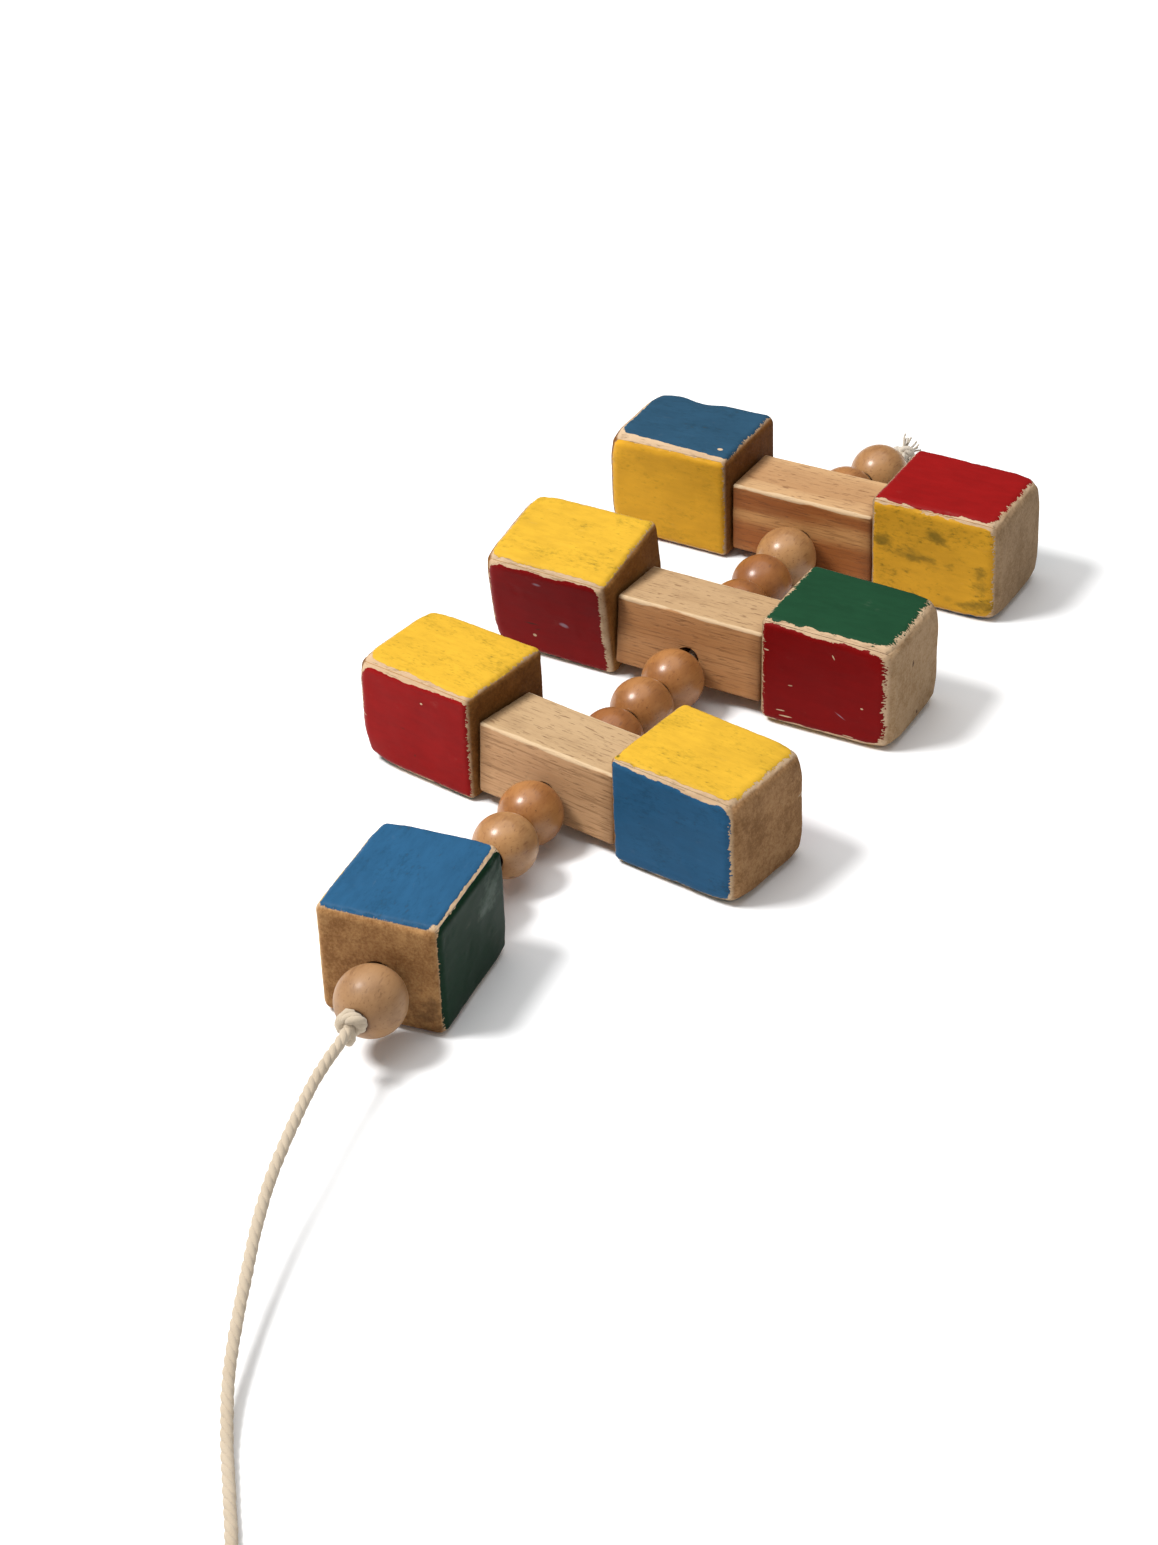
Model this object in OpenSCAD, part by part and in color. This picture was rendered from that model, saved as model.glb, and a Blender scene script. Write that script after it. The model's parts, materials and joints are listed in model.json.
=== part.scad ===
// String pull toy: a wooden lead block and three axle units, each a square
// crossbar with a turning cube on either end, strung on one cord with round
// beads between them. Millimetres, +Z up, the chain runs along +Y and the
// pull end points to -Y. The origin is the middle of the toy on the floor.

/* [Blocks] */
// width and height of every block
block_size = 35.5; // [34:0.5:37.5]
// length of a block along its grain
block_length = 43; // [39:0.5:47]
// width of the lead block, a little more than its height
head_width = 36.5; // [35:0.5:38]
// radius on the worn edges round a block's outer end
block_edge = 4.6; // [2.6:0.2:6]
// radius on the edges round a block's inner end
inner_edge = 3; // [1.5:0.5:4]
// radius on the edges of the lead block
lead_edge = 3.1; // [1.5:0.2:4.5]

/* [Crossbars] */
// square section of a crossbar
bar_size = 23; // [20:0.5:24]
// length of a crossbar
bar_length = 48.5; // [44:0.5:54]
// gap between a crossbar's end and the turning block
bar_gap = 0.5; // [0.3:0.1:1]

/* [Axles] */
// diameter of an axle dowel
axle_d = 9.5; // [8:0.5:10]
// length of an axle glued into the crossbar
axle_in_bar = 14; // [10:0.5:15]
// length of an axle inside its block
axle_in_block = 30; // [26:0.5:32]
// how far the axle lies in front of the block's middle
axle_forward = 3.6; // [0:0.2:4]
// height of the first and last axles
axle_height = 14.5; // [14.1:0.1:15.8]
// height of the middle of the second crossbar
raised_axle_height = 16.1; // [15.5:0.1:16.6]
// diameter of the pin that keeps a block on its axle
pin_d = 2; // [1.6:0.1:2.4]
// depth of the pin's bore into the block, from below
pin_length = 22; // [20:0.5:24]
// distance from the block's inner face to the pin
pin_inset = 20; // [14:0.5:24]
// depth of the turned groove the pin runs in
groove_depth = 1.4; // [1:0.1:1.8]

/* [Beads] */
// diameter of a bead between two units
bead_d = 18.8; // [18.4:0.1:18.8]
// diameter of the paler bead in front
front_bead_d = 19.8; // [19:0.1:20.4]
// height of the front bead's middle
front_bead_height = 16.2; // [15.5:0.1:16.6]
// sideways place of the front bead against the lead block's hole
front_bead_side = 2.4; // [1:0.2:2.6]
// diameter of a bead's hole
bead_hole_d = 7; // [6.9:0.1:7.6]
// diameter of a bead's hole at its mouth
bead_mouth_d = 8.6; // [8.5:0.1:9]
// spacing of the beads along the cord
bead_pitch = 18.2; // [18.2:0.05:18.8]
// distance from a flat face to the middle of the next bead
bead_stand = 9.6; // [9.6:0.05:10.2]

/* [Cord] */
// diameter of the cord
cord_d = 3.4; // [3:0.1:3.4]
// diameter of the lead block's cord hole
head_hole_d = 10; // [9.6:0.1:11]
// height of the lead block's cord hole
head_hole_height = 16.1; // [15.5:0.1:17.5]
// chamfer on the lead block's cord hole
head_hole_chamfer = 0.8; // [0.4:0.1:1.2]
// diameter of a crossbar's cord hole
bar_hole_d = 7.4; // [7.4:0.1:8.4]
// how far a crossbar's cord hole lies below the crossbar's middle
bar_hole_drop = 2.4; // [2:0.1:2.6]
// chamfer on a crossbar's cord hole
bar_hole_chamfer = 0.4; // [0.2:0.1:0.6]
// how far the cord lies above a bead's middle
cord_lift = 1.2; // [1:0.1:1.3]
// size of the knot in front of the first bead
front_knot_d = 8.4; // [7:0.2:9]
// size of the knot behind the last bead
rear_knot_d = 7.6; // [7:0.2:9]
// size of the knot at the pull cord's far end
end_knot_d = 6.4; // [6:0.2:7]
// middle diameter of the coil of spare pull cord
coil_d = 38; // [36:0.5:40]

/* [Rest pose] */
// heading of the lead block, counter-clockwise
head_turn = 6.5; // [5:0.1:8]
// heading of the first crossbar
bar_1_turn = -8.6; // [-9.5:0.1:-7]
// heading of the second crossbar
bar_2_turn = 0; // [-1:0.1:1]
// heading of the third crossbar
bar_3_turn = 0; // [-1:0.1:1]
// forward roll of the second unit's left block
block_2_left_roll = 9.5; // [8:0.1:10.5]
// sideways lean of the second unit
bar_2_lean = 1; // [0.6:0.1:1.2]
// roll of the first crossbar on its axles
bar_1_roll = -4; // [-5:0.5:0]
// roll of the second crossbar on its axles
bar_2_roll = -5; // [-6:0.5:0]
// roll of the third crossbar on its axles
bar_3_roll = -1.5; // [-3:0.5:0]

/* [Fits] */
// radial clearance of an axle in its block
running_gap = 0.08; // [0.05:0.01:0.1]
// clearance where two lengths of cord hinge, round the ball
hinge_gap = 0.1; // [0.06:0.02:0.16]
// clearance of a pin in its groove
groove_gap = 0.3; // [0.2:0.05:0.4]

/* [Hidden] */
$fn = 48;
core = 24;
half_bar = bar_size / 2;
half_head = block_length / 2;
cord_r = cord_d / 2;
bead_r = bead_d / 2;
front_bead_r = front_bead_d / 2;
axle_r = axle_d / 2;
pin_r = pin_d / 2;
reach = bar_length / 2 + bar_gap + block_length / 2;
ball_r = cord_r + 0.1;

// heading of the cord from the first to the second bead of each length
first_turn = [-4, 0, 4.4, -11];
// heading of the cord from the second to the third bead
second_turn = [7, -1.9, 1.9];
// sideways place of the first bead against the hole in front of it
lead_side = [2.0, -1.1, 0.5, 0];
// sideways place of the cord in the mouth of that hole
mouth_side = [1.0, -0.5, 0.3, -0.7];
// sideways place of the next crossbar against the third bead
trail_side = [-2.1, 0.1, 0.4];
// heights of the beads' middles
bead_z = [[14.2, 12.6, 11.4], [12.1, 12.0, 11.5], [12.7, 11.4, 11.3], [11.5, 11.3]];

// headings, rolls, heights and leans of the units
turn = [head_turn, bar_1_turn, bar_2_turn, bar_3_turn];
roll = [0, bar_1_roll, bar_2_roll, bar_3_roll];
axle_z = [0, axle_height, raised_axle_height, axle_height];
lean = [0, 0, bar_2_lean, 0];
left_roll = [0, 0, block_2_left_roll, 0];

// unit vectors along and across a heading
function ahead(a) = [-sin(a), cos(a), 0];
function across(a) = [cos(a), sin(a), 0];
function unit(v) = v / norm(v);
function lift(p) = p + [0, 0, cord_lift];
function level(p, z) = [p[0], p[1], z];

// the bead one pitch further on, at a given heading and height
function onward(p, a, z) =
    let (run = sqrt(bead_pitch * bead_pitch - (z - p[2]) * (z - p[2])))
    level(p + run * ahead(a), z);

// the first bead behind a block or crossbar
function lead_bead(c, half, k) =
    level(c + (half + bead_stand) * ahead(turn[k]) + lead_side[k] * across(turn[k]), bead_z[k][0]);

// the crossbar behind a third bead
function next_bar(p, k) =
    level(p + (bead_stand + half_bar) * ahead(turn[k]) + trail_side[k - 1] * across(turn[k]), axle_z[k]);

// the layout with the lead block's middle at the origin
h0 = [0, 0, 0];
a1 = lead_bead(h0, half_head, 0);
a2 = onward(a1, first_turn[0], bead_z[0][1]);
a3 = onward(a2, second_turn[0], bead_z[0][2]);
u1 = next_bar(a3, 1);
b1 = lead_bead(u1, half_bar, 1);
b2 = onward(b1, first_turn[1], bead_z[1][1]);
b3 = onward(b2, second_turn[1], bead_z[1][2]);
u2 = next_bar(b3, 2);
c1 = lead_bead(u2, half_bar, 2);
c2 = onward(c1, first_turn[2], bead_z[2][1]);
c3 = onward(c2, second_turn[2], bead_z[2][2]);
u3 = next_bar(c3, 3);
d1 = lead_bead(u3, half_bar, 3);
d2 = onward(d1, first_turn[3], bead_z[3][1]);

// a block's own axes when it heads a, leans n and rolls t
function along_x(a, n) = [cos(a) * cos(n), sin(a) * cos(n), -sin(n)];
function lean_up(a, n) = [cos(a) * sin(n), sin(a) * sin(n), cos(n)];
function along_y(a, n, t) = cos(t) * ahead(a) + sin(t) * lean_up(a, n);
function along_z(a, n, t) = -sin(t) * ahead(a) + cos(t) * lean_up(a, n);

// how far the block on side s reaches from its middle in direction v
function corner(l, w, r) = l * (block_length / 2 - r) + w * (block_size / 2 - r) + r;
function extent(v, s, a, n, t) =
    let (l = s * (v * along_x(a, n)), w = abs(v * along_y(a, n, t)) + abs(v * along_z(a, n, t)))
    max(corner(l, w, block_edge), corner(-l, w, inner_edge));

// the middle of the block on side s of unit k, set so that it stands on the floor
units = [h0, u1, u2, u3];
function rolled(s, k) = s < 0 ? left_roll[k] : 0;
function block_drop(s, k) =
    (extent([0, 0, -1], s, turn[k], lean[k], rolled(s, k)) - axle_z[k]
    - s * reach * along_x(turn[k], lean[k])[2] - axle_forward * along_y(turn[k], lean[k], rolled(s, k))[2])
    / along_z(turn[k], lean[k], rolled(s, k))[2];
function block_at(s, k) = units[k] + s * reach * along_x(turn[k], lean[k])
    + axle_forward * along_y(turn[k], lean[k], rolled(s, k))
    + block_drop(s, k) * along_z(turn[k], lean[k], rolled(s, k));

// the middle of the whole toy, from its outermost blocks, front knot and rear knot
rear_dir = unit(d2 - d1);
front_at = level(h0 - (half_head + front_bead_r + 0.2) * ahead(head_turn)
    + front_bead_side * across(head_turn),
    front_bead_height);
front_knot_at = lift(front_at - (front_bead_r + front_knot_d / 2 - 1.4) * ahead(head_turn));
rear_knot_at = lift(d2) + (bead_r + rear_knot_d / 2 - 0.6) * rear_dir;
low_x = min(block_at(-1, 1)[0] - extent([-1, 0, 0], -1, bar_1_turn, 0, 0),
    block_at(-1, 3)[0] - extent([-1, 0, 0], -1, bar_3_turn, 0, 0));
high_x = max(block_at(1, 3)[0] + extent([1, 0, 0], 1, bar_3_turn, 0, 0),
    block_at(1, 2)[0] + extent([1, 0, 0], 1, bar_2_turn, bar_2_lean, 0));
low_y = front_knot_at[1] - front_knot_d / 2;
high_y = rear_knot_at[1] + rear_knot_d / 2;
shift = [-(low_x + high_x) / 2, -(low_y + high_y) / 2, 0];

// where the cord passes the faces of the wood
function back_mouth(c, half, k, z) =
    level(c + half * ahead(turn[k]) + mouth_side[k] * across(turn[k]), z + cord_lift);
function front_mouth(c, k, z) = level(c - half_bar * ahead(turn[k]), z + cord_lift);
e0 = back_mouth(h0, half_head, 0, bead_z[0][0]);
f1 = front_mouth(u1, 1, bead_z[0][2]);
e1 = back_mouth(u1, half_bar, 1, bead_z[1][0]);
f2 = front_mouth(u2, 2, bead_z[1][2]);
e2 = back_mouth(u2, half_bar, 2, bead_z[2][0]);
f3 = front_mouth(u3, 3, bead_z[2][2]);
e3 = back_mouth(u3, half_bar, 3, bead_z[3][0]);

// the hinge points of the cord, midway between two beads
a12 = lift((a1 + a2) / 2);
a23 = lift((a2 + a3) / 2);
b12 = lift((b1 + b2) / 2);
b23 = lift((b2 + b3) / 2);
c12 = lift((c1 + c2) / 2);
c23 = lift((c2 + c3) / 2);
d12 = lift((d1 + d2) / 2);

// the free pull cord, from the front knot down to the floor and away to its coil
coil_at = [110, -345, 0];
pull_points = [[8.1, -172.1, 17.1], [9.2, -177.5, 17.3], [10.4, -185.3, 17.7], [12, -194.4, 17.7],
    [14.3, -203.6, 17.5], [16.5, -212.2, 17], [18.6, -220.2, 16.2], [20.7, -227.7, 15.1],
    [23.1, -234.9, 14], [25.8, -242.2, 12.7], [28.6, -249.1, 11.3], [31.6, -256.2, 9.9],
    [34.7, -263.4, 8.7], [38, -270.7, 7.5], [41.3, -277.7, 6.3], [45.1, -284.9, 4.8],
    [49.3, -291.8, 3.4], [53.8, -298.8, 2.3], [58.9, -305.9, 1.9], [64, -313.1, 1.8], [69, -320, 1.8],
    [75, -329, 1.8], [81, -338, 1.8], [86.5, -346.5, 1.8], [91.5, -354.5, 1.8]];

// a hull of eight balls: a block whose edges are round, more at its +X end than at its -X end
module rounded(x, y, z, near, far) {
    hull()
        for (i = [-1, 1], j = [-1, 1], k = [-1, 1]) {
            r = i < 0 ? near : far;
            translate([i * (x / 2 - r), j * (y / 2 - r), k * (z / 2 - r)])
                sphere(r = r / cos(180 / core), $fn = core);
        }
}

// a straight rod between two points
module rod(p, q, r) {
    v = q - p;
    translate(p)
        rotate([0, acos(v[2] / norm(v)), atan2(v[1], v[0])])
            cylinder(r = r, h = norm(v));
}

// one straight length of cord from the socket at hinge p to the ball at hinge q
module cord_link(p, q) {
    color([0.85, 0.78, 0.66])
        translate(shift)
            difference() {
                union() {
                    rod(p, q, cord_r);
                    translate(q)
                        sphere(r = ball_r, $fn = core);
                }
                translate(p)
                    sphere(r = ball_r + hinge_gap, $fn = core);
            }
}

// a drilled bead whose hole points along v
module bead(at, v, r) {
    rim = sqrt(r * r - bead_mouth_d * bead_mouth_d / 4);
    deep = rim - (bead_mouth_d - bead_hole_d) / 2;
    color([0.72, 0.38, 0.14])
        translate(shift + at)
            rotate([0, acos(v[2] / norm(v)), atan2(v[1], v[0])])
                difference() {
                    sphere(r = r);
                    cylinder(d = bead_hole_d, h = 3 * r, center = true);
                    for (s = [0, 1])
                        mirror([0, 0, s])
                            translate([0, 0, deep])
                                cylinder(d1 = bead_hole_d, d2 = bead_hole_d + 2 * r, h = r);
                }
}

// a drilled hole with chamfered mouths, along Y, for wood of the given depth
module cord_hole(depth, d, c) {
    rotate([90, 0, 0])
        cylinder(d = d, h = depth + 2, center = true);
    for (s = [-1, 1])
        translate([0, s * (depth / 2 - c), 0])
            rotate([-s * 90, 0, 0])
                cylinder(d1 = d, d2 = d + 4 * c, h = 2 * c);
}

// the frame of unit k: its axle line lies along X
module at_unit(k) {
    translate(shift + units[k])
        rotate([0, 0, turn[k]])
            rotate([0, lean[k], 0])
                children();
}

module crossbar(k) {
    color([0.8, 0.64, 0.45])
        difference() {
            at_unit(k)
                rotate([roll[k], 0, 0])
                    difference() {
                        cube([bar_length, bar_size, bar_size], center = true);
                        for (s = [-1, 1])
                            translate([s * (bar_length / 2 - axle_in_bar / 2 + 1), 0, 0])
                                rotate([0, 90, 0])
                                    cylinder(d = axle_d, h = axle_in_bar + 2, center = true);
                    }
            translate(shift + level(units[k], axle_z[k] - bar_hole_drop))
                rotate([0, 0, turn[k]])
                    cord_hole(bar_size, bar_hole_d, bar_hole_chamfer);
        }
}

module axle(s, k) {
    neck = bar_length / 2 + bar_gap + pin_inset;
    wide = pin_d + 2 * groove_gap;
    color([0.78, 0.62, 0.42])
        at_unit(k)
            mirror([s < 0 ? 1 : 0, 0, 0])
                rotate([0, 90, 0])
                    difference() {
                        translate([0, 0, bar_length / 2 - axle_in_bar])
                            cylinder(d = axle_d, h = axle_in_bar + bar_gap + axle_in_block);
                        translate([0, 0, neck - wide / 2])
                            difference() {
                                cylinder(d = axle_d + 2, h = wide);
                                translate([0, 0, -1])
                                    cylinder(d = axle_d - 2 * groove_depth, h = wide + 2);
                            }
                    }
}

// where the pin stands against its axle: just clear of the groove's floor
pin_side = axle_r - groove_depth + groove_gap + pin_r;

module end_block(s, k) {
    drop = block_drop(s, k);
    near = bar_length / 2 + bar_gap;
    color([0.75, 0.25, 0.15])
        at_unit(k)
            mirror([s < 0 ? 1 : 0, 0, 0])
                rotate([rolled(s, k), 0, 0])
                    difference() {
                        translate([reach, axle_forward, drop])
                            rounded(block_length, block_size, block_size, inner_edge, block_edge);
                        translate([near - 1, 0, 0])
                            rotate([0, 90, 0])
                                cylinder(r = axle_r + running_gap, h = axle_in_block + bar_gap + 1);
                        translate([near + pin_inset, pin_side, drop - block_size / 2 - 1])
                            cylinder(d = pin_d, h = pin_length + 1);
                    }
}

module pin(s, k) {
    drop = block_drop(s, k);
    near = bar_length / 2 + bar_gap;
    color([0.55, 0.55, 0.57])
        at_unit(k)
            mirror([s < 0 ? 1 : 0, 0, 0])
                rotate([rolled(s, k), 0, 0])
                    translate([near + pin_inset, pin_side, drop - block_size / 2 + 0.8])
                        cylinder(d = pin_d, h = pin_length - 0.8);
}

// a tube of eight sides along a run of points
module tube(p, r) {
    n = len(p);
    s = 8;
    way = [for (i = [0 : n - 1]) unit(p[min(i + 1, n - 1)] - p[max(i - 1, 0)])];
    out = [for (w = way) unit(cross(w, [0, 0, 1]))];
    up = [for (i = [0 : n - 1]) cross(out[i], way[i])];
    rings = [for (i = [0 : n - 1], j = [0 : s - 1])
        p[i] + r * (cos(360 * j / s + 22.5) * out[i] + sin(360 * j / s + 22.5) * up[i])];
    sides = [for (i = [0 : n - 2], j = [0 : s - 1])
        [i * s + j, i * s + (j + 1) % s, (i + 1) * s + (j + 1) % s, (i + 1) * s + j]];
    caps = [[for (j = [0 : s - 1]) s - 1 - j], [for (j = [0 : s - 1]) (n - 1) * s + j]];
    polyhedron(points = rings, faces = concat(sides, caps), convexity = 4);
}

// a smooth run between the pull cord's points
function between(p, i, t) =
    let (n = len(p) - 1, a = p[max(i - 1, 0)], b = p[i], c = p[min(i + 1, n)], d = p[min(i + 2, n)])
    0.5 * (2 * b + (c - a) * t + (2 * a - 5 * b + 4 * c - d) * t * t + (3 * b - a - 3 * c + d) * t * t * t);
pull_run = [for (i = [0 : len(pull_points) - 2], t = [0, 0.5]) between(pull_points, i, t),
    pull_points[len(pull_points) - 1]];

module head_block() {
    color([0.75, 0.25, 0.15])
        translate(shift)
            rotate([0, 0, head_turn])
                difference() {
                    translate([0, 0, block_size / 2])
                        rounded(head_width, block_length, block_size, lead_edge, lead_edge);
                    translate([0, 0, head_hole_height])
                        cord_hole(block_length, head_hole_d, head_hole_chamfer);
                }
}

module head_cord() {
    p = lift(front_at) - (front_bead_r + 1) * ahead(head_turn);
    color([0.85, 0.78, 0.66])
        translate(shift) {
            rod(p, e0, cord_r);
            translate(e0)
                sphere(r = ball_r, $fn = core);
        }
}

module front_knot() {
    color([0.87, 0.81, 0.7])
        translate(shift + front_knot_at)
            rotate([0, 0, head_turn])
                scale([1, 0.86, 0.94])
                    sphere(d = front_knot_d);
}

module rear_knot() {
    color([0.87, 0.81, 0.7])
        translate(shift + rear_knot_at)
            sphere(d = rear_knot_d);
}

module front_bead() {
    bead(front_at, ahead(head_turn), front_bead_r);
}

module pull_cord() {
    color([0.85, 0.78, 0.66])
        tube(pull_run, cord_r);
}

module pull_cord_coil() {
    color([0.85, 0.78, 0.66])
        translate([coil_at[0], coil_at[1], 0])
            rotate_extrude()
                translate([coil_d / 2 - cord_d, 0])
                    union() {
                        square([2 * cord_d, 1.9 * cord_d]);
                        translate([cord_d / 2, 0])
                            square([cord_d, 2.4 * cord_d]);
                    }
}

module pull_cord_end_knot() {
    color([0.87, 0.81, 0.7])
        translate([coil_at[0] + coil_d / 2 - 1, coil_at[1] + 1, 2.4 * cord_d + 2.4])
            sphere(d = end_knot_d);
}

// each bead with its hole along the length of cord that it sits on
module bead_1a() { bead(a1, a12 - e0, bead_r); }
module bead_1b() { bead(a2, a23 - a12, bead_r); }
module bead_1c() { bead(a3, f1 - a23, bead_r); }
module bead_2a() { bead(b1, b12 - e1, bead_r); }
module bead_2b() { bead(b2, b23 - b12, bead_r); }
module bead_2c() { bead(b3, f2 - b23, bead_r); }
module bead_3a() { bead(c1, c12 - e2, bead_r); }
module bead_3b() { bead(c2, c23 - c12, bead_r); }
module bead_3c() { bead(c3, f3 - c23, bead_r); }
module bead_4a() { bead(d1, d12 - e3, bead_r); }
module bead_4b() { bead(d2, rear_knot_at - d12, bead_r); }
module cord_1a() { cord_link(e0, a12); }
module cord_1b() { cord_link(a12, a23); }
module cord_1c() { cord_link(a23, f1); }
module cord_2a() { cord_link(e1, b12); }
module cord_2b() { cord_link(b12, b23); }
module cord_2c() { cord_link(b23, f2); }
module cord_3a() { cord_link(e2, c12); }
module cord_3b() { cord_link(c12, c23); }
module cord_3c() { cord_link(c23, f3); }
module cord_4a() { cord_link(e3, d12); }
module cord_4b() { cord_link(d12, rear_knot_at); }
module bar_cord_1() { cord_link(f1, e1); }
module bar_cord_2() { cord_link(f2, e2); }
module bar_cord_3() { cord_link(f3, e3); }
module crossbar_1() { crossbar(1); }
module crossbar_2() { crossbar(2); }
module crossbar_3() { crossbar(3); }
module axle_1_left() { axle(-1, 1); }
module axle_1_right() { axle(1, 1); }
module axle_2_left() { axle(-1, 2); }
module axle_2_right() { axle(1, 2); }
module axle_3_left() { axle(-1, 3); }
module axle_3_right() { axle(1, 3); }
module block_1_left() { end_block(-1, 1); }
module block_1_right() { end_block(1, 1); }
module block_2_left() { end_block(-1, 2); }
module block_2_right() { end_block(1, 2); }
module block_3_left() { end_block(-1, 3); }
module block_3_right() { end_block(1, 3); }
module pin_1_left() { pin(-1, 1); }
module pin_1_right() { pin(1, 1); }
module pin_2_left() { pin(-1, 2); }
module pin_2_right() { pin(1, 2); }
module pin_3_left() { pin(-1, 3); }
module pin_3_right() { pin(1, 3); }

head_block();
head_cord();
front_bead();
front_knot();
pull_cord();
pull_cord_coil();
pull_cord_end_knot();
bead_1a();
bead_1b();
bead_1c();
bead_2a();
bead_2b();
bead_2c();
bead_3a();
bead_3b();
bead_3c();
bead_4a();
bead_4b();
cord_1a();
cord_1b();
cord_1c();
cord_2a();
cord_2b();
cord_2c();
cord_3a();
cord_3b();
cord_3c();
cord_4a();
cord_4b();
bar_cord_1();
bar_cord_2();
bar_cord_3();
crossbar_1();
crossbar_2();
crossbar_3();
axle_1_left();
axle_1_right();
axle_2_left();
axle_2_right();
axle_3_left();
axle_3_right();
block_1_left();
block_1_right();
block_2_left();
block_2_right();
block_3_left();
block_3_right();
pin_1_left();
pin_1_right();
pin_2_left();
pin_2_right();
pin_3_left();
pin_3_right();
rear_knot();
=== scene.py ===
# %% [markdown]
# # An old string pull toy in Blender
#
# The toy is a painted wooden lead block and three pairs of painted cubes. Each
# pair turns on the ends of a bare square bar, and one cotton cord runs through
# the lead block, the bars and the round beads between them. The frame, loaded
# first, is the engineering model: its bodies move, and every visual piece made
# below rides on one of them.

import json
import math
import random

import bpy
from mathutils import Matrix, Vector


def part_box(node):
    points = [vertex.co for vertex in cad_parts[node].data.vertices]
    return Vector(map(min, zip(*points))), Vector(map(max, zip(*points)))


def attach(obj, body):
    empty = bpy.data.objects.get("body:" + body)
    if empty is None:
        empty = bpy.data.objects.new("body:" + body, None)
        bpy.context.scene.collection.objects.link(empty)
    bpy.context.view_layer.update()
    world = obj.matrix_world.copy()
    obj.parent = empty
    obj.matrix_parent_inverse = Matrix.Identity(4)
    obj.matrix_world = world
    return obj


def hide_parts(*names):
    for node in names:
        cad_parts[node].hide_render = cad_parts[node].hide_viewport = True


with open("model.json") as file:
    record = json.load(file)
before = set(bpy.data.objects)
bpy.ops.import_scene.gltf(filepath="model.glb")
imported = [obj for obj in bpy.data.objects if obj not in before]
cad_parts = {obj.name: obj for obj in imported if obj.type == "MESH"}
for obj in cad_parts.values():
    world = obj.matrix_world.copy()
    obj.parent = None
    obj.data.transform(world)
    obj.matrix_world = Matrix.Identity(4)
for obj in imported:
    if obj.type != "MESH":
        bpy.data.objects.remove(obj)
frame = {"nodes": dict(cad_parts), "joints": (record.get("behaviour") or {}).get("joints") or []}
scene = bpy.context.scene
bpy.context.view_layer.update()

# %% [markdown]
# ## The camera
#
# A long lens from a metre away keeps the far cubes almost as large as the near
# ones. The camera's turn is easiest to state the way one would hold it: how far
# round, how far down, and a small tilt of the horizon.

# %% Place the camera
CAMERA_AT = (0.4333, -0.7726, 0.5929)
camera_data = bpy.data.cameras.new("Camera")
camera_data.lens = 84.33
camera_data.sensor_width = 36
camera_data.clip_start = 0.05
camera = bpy.data.objects.new("Camera", camera_data)
scene.collection.objects.link(camera)
turn_round, look_down, roll = math.radians(30.43), math.radians(34.21), math.radians(-2.47)
camera.matrix_world = (
    Matrix.Translation(CAMERA_AT)
    @ Matrix.Rotation(turn_round, 4, "Z")
    @ Matrix.Rotation(math.radians(90) - look_down, 4, "X")
    @ Matrix.Rotation(roll, 4, "Z")
)
scene.camera = camera
scene.render.resolution_x, scene.render.resolution_y = 768, 1024
scene.view_settings.view_transform = "Standard"
print("camera at", [round(c, 3) for c in camera.location])

# %% [markdown]
# ## The pull cord's route
#
# The pull cord leaves the knot in front of the first bead, sinks to the floor in
# a long slack curve and lies there. Its spare length is wound in a coil.
# Listed points set the slack part, and a rule sets the coil: each turn
# lies beside or on top of the one before, so that no turn passes through another.

# %% Route points, in metres
CORD_D = 0.0034
CORD_LENGTH = 0.75
slack_points = [
    (0.0081, -0.1721, 0.0171), (0.0092, -0.1775, 0.0173), (0.0104, -0.1853, 0.0177),
    (0.0120, -0.1944, 0.0177), (0.0143, -0.2036, 0.0175), (0.0165, -0.2122, 0.0170),
    (0.0186, -0.2202, 0.0162), (0.0207, -0.2277, 0.0151), (0.0231, -0.2349, 0.0140),
    (0.0258, -0.2422, 0.0127), (0.0286, -0.2491, 0.0113), (0.0316, -0.2562, 0.0099),
    (0.0347, -0.2634, 0.0087), (0.0380, -0.2707, 0.0075), (0.0413, -0.2777, 0.0063),
    (0.0451, -0.2849, 0.0048), (0.0493, -0.2918, 0.0034), (0.0538, -0.2988, 0.0023),
    (0.0589, -0.3059, 0.0019), (0.0640, -0.3131, 0.0018), (0.0690, -0.3200, 0.0018),
    (0.0750, -0.3290, 0.0018), (0.0810, -0.3380, 0.0018), (0.0865, -0.3465, 0.0018),
]
coil_middle = Vector((0.110, -0.345, 0))
coil_start = math.radians(213.7)
near_r, far_r, top_r = 0.0173, 0.0208, 0.0190
FLOOR_Z, LAYER_RISE, TOP_RISE = 0.0018, 0.0035, 0.0030
POINTS_PER_TURN = 28


def ease(t, a, b):
    """0 before a, 1 after b, and smooth between."""
    t = min(max((t - a) / (b - a), 0), 1)
    return t * t * (3 - 2 * t)


def coil_point(t):
    """A point on the coil after t turns."""
    r = far_r + (near_r - far_r) * ease(t, 0.80, 0.97)
    z = FLOOR_Z + LAYER_RISE * ease(t, 1.50, 1.68)
    r = r + (far_r - near_r) * ease(t, 2.50, 2.66)
    r = r + (top_r - far_r) * ease(t, 3.40, 3.60)
    z = z + TOP_RISE * ease(t, 3.32, 3.50)
    a = coil_start + 2 * math.pi * t
    return coil_middle + Vector((r * math.cos(a), r * math.sin(a), z))


def path_length(points):
    return sum((Vector(b) - Vector(a)).length for a, b in zip(points, points[1:]))


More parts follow.
